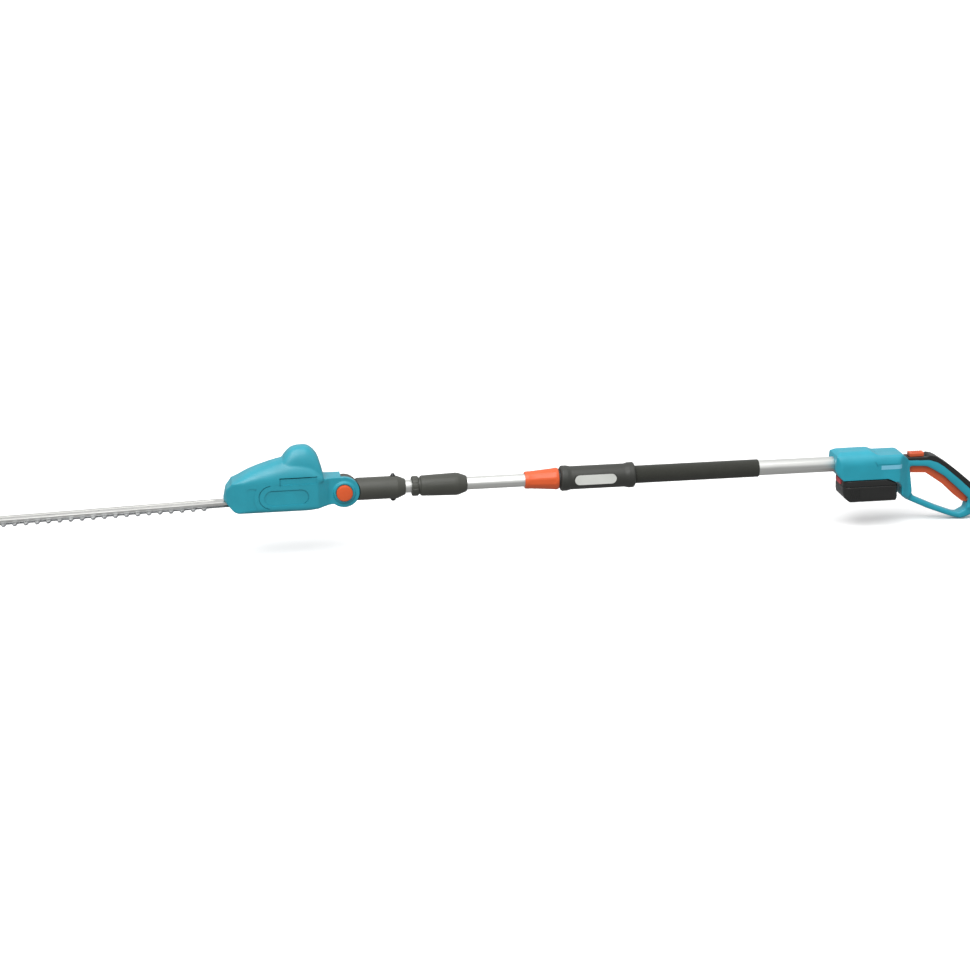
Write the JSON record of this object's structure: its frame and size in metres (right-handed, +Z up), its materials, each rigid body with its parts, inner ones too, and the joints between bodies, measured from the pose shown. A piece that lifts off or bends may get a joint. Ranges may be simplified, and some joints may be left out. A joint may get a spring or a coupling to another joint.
{
  "type": "cordless telescopic pole hedge trimmer",
  "caption": "Battery hedge trimmer on a telescopic pole, with a tilting head, a double-sided knife, a clamp sleeve and a closed rear handle.",
  "frame": {"origin": "on the pole's axis, in the middle of the bare stretch of the outer tube where a strap hanger or wall clip holds it", "axes": "+X along the pole to the handle, +Z up, -Y towards the side with the tilt button"},
  "size_m": [1.9821, 0.074, 0.2185],
  "materials": {
    "head_teal": "moulded teal ABS, satin gloss",
    "housing_teal": "moulded teal ABS, satin gloss",
    "grip_black": "soft black overmould",
    "foam": "closed-cell EVA foam",
    "grey_plastic": "grey glass-filled nylon",
    "badge": "blank moulded plate",
    "orange": "orange ABS",
    "signal_red": "orange-red nylon",
    "pole_aluminium": "drawn and anodised tube",
    "bar_aluminium": "extruded bar",
    "blade_steel": "ground blade steel",
    "steel": "zinc plated steel",
    "cast_aluminium": "die cast",
    "motor_steel": "plated motor can",
    "black_plastic": "black nylon",
    "cell_wrap": "shrink wrap",
    "board_green": "circuit board",
    "cable_black": "cable sheath",
    "lead_red": "wire insulation"
  },
  "bodies": {
    "rear": {"outer_tube": "pole_aluminium", "clamp_collet": "grey_plastic", "front_grip": "grey_plastic", "grip_badge": "badge", "foam_grip": "foam", "rear_housing_left": "housing_teal", "rear_housing_right": "housing_teal", "handle_overmould": "grip_black", "rear_screws": "steel", "battery_contacts": "black_plastic", "control_board": "board_green", "trigger_switch": "black_plastic", "trigger_pin": "steel", "switch_leads": "lead_red", "trigger_spring": "steel", "safety_spring": "steel"},
    "trigger": {"trigger_lever": "signal_red"},
    "safety": {"safety_slide": "signal_red"},
    "battery": {"battery_case": "black_plastic", "battery_lid": "black_plastic", "battery_cells": "cell_wrap", "battery_button_spring": "steel"},
    "battery_latch": {"battery_button": "signal_red"},
    "clamp": {"clamp_sleeve": "orange"},
    "front_pole": {"inner_tube": "pole_aluminium", "tube_guide": "grey_plastic", "coiled_cable": "cable_black", "coupling_sleeve": "grey_plastic", "coupling_socket": "black_plastic", "coupling_plug": "black_plastic", "stub_tube": "pole_aluminium", "neck": "grey_plastic", "cross_bolt": "steel", "cross_nut": "steel"},
    "union_nut": {"coupling_nut": "grey_plastic"},
    "head": {"head_shell_left": "head_teal", "head_shell_right": "head_teal", "head_screws": "steel", "hinge_bolt": "steel", "hinge_nut": "steel", "gear_case": "cast_aluminium", "crank_bearings": "steel", "motor": "motor_steel", "base_plate": "steel", "guide_bar": "bar_aluminium", "knife_bolts": "steel", "knife_spacers": "steel", "tip_guard": "black_plastic", "tilt_spring": "steel"},
    "tilt_lock": {"tilt_button": "orange", "lock_ring": "steel"},
    "rotor": {"motor_pinion": "steel"},
    "crank": {"crank_gear": "steel"},
    "blade_upper": {"upper_blade": "blade_steel"},
    "blade_lower": {"lower_blade": "blade_steel"}
  },
  "joints": [
    {"name": "pole_telescope", "type": "slide", "parent": "rear", "child": "front_pole", "axis": [-1, 0, 0], "range_m": [-0.1, 0.35], "deforming": ["coiled_cable"]},
    {"name": "clamp_turn", "type": "hinge", "parent": "rear", "child": "clamp", "pos_m": [-0.509, 0, 0], "axis": [1, 0, 0], "range_deg": [0, 90]},
    {"name": "nut_turn", "type": "hinge", "parent": "front_pole", "child": "union_nut", "pos_m": [-0.759, 0, 0], "axis": [1, 0, 0], "range_deg": [0, 270]},
    {"name": "head_tilt", "type": "hinge", "parent": "front_pole", "child": "head", "pos_m": [-0.898, 0, 0], "axis": [0, 1, 0], "range_deg": [-75, 60]},
    {"name": "tilt_button_press", "type": "slide", "parent": "head", "child": "tilt_lock", "axis": [0, 1, 0], "range_m": [0, 0.005], "stiffness_N_per_m": 900, "springref_m": -0.008, "deforming": ["tilt_spring"]},
    {"name": "crank_spin", "type": "hinge", "parent": "head", "child": "crank", "pos_m": [-1.0091, 0, -0.00462], "axis": [-0.0279, 0, 0.9996], "continuous": true},
    {"name": "rotor_spin", "type": "hinge", "parent": "head", "child": "rotor", "pos_m": [-0.97401, 0, -0.00364], "axis": [-0.0279, 0, 0.9996], "continuous": true},
    {"name": "upper_blade_stroke", "type": "slide", "parent": "head", "child": "blade_upper", "axis": [0.9996, 0, 0.0279], "range_m": [-0.005, 0.005]},
    {"name": "lower_blade_stroke", "type": "slide", "parent": "head", "child": "blade_lower", "axis": [0.9996, 0, 0.0279], "range_m": [-0.005, 0.005]},
    {"name": "trigger_squeeze", "type": "hinge", "parent": "rear", "child": "trigger", "pos_m": [0.354, 0, -0.084], "axis": [0, 1, 0], "range_deg": [0, 3.2], "stiffness_Nm_per_rad": 6, "springref_deg": -4.58, "deforming": ["trigger_spring"]},
    {"name": "safety_push", "type": "slide", "parent": "rear", "child": "safety", "axis": [1, 0, 0], "range_m": [0, 0.006], "stiffness_N_per_m": 300, "springref_m": -0.006, "deforming": ["safety_spring"]},
    {"name": "battery_slide", "type": "slide", "parent": "rear", "child": "battery", "axis": [-1, 0, 0], "range_m": [0, 0.11]},
    {"name": "battery_latch_press", "type": "slide", "parent": "battery", "child": "battery_latch", "axis": [1, 0, 0], "range_m": [0, 0.003], "stiffness_N_per_m": 1200, "springref_m": -0.004, "deforming": ["battery_button_spring"]}
  ],
  "couplings": [
    {"joint": "rotor_spin", "follows": "crank_spin", "ratio": -5.5},
    {"joint": "lower_blade_stroke", "follows": "upper_blade_stroke", "ratio": -1}
  ]
}
